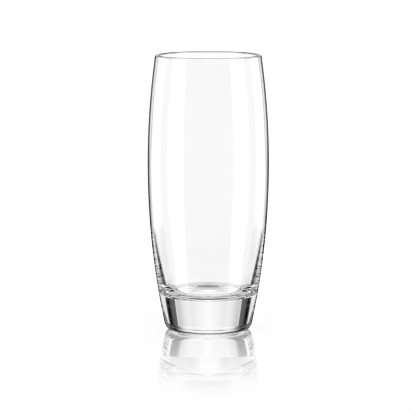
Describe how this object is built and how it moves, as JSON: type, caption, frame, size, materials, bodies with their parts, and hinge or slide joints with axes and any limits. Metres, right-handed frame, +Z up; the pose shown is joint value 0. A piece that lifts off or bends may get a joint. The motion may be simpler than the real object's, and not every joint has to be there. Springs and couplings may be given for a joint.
{
  "type": "highball glass",
  "caption": "Tall barrel-shaped clear tumbler for long drinks, with a thin wall, a rounded lip and a thick solid base with a rounded heel.",
  "frame": {"origin": "centre of the resting ring, on the table", "axes": "+Z up along the glass's own axis; the glass is turned, so X and Y are alike"},
  "size_m": [0.0658, 0.0658, 0.15],
  "materials": {
    "glass": "clear, fire-polished soda-lime glass"
  },
  "bodies": {
    "root": {"base": "glass", "wall": "glass", "rim": "glass"}
  },
  "joints": []
}
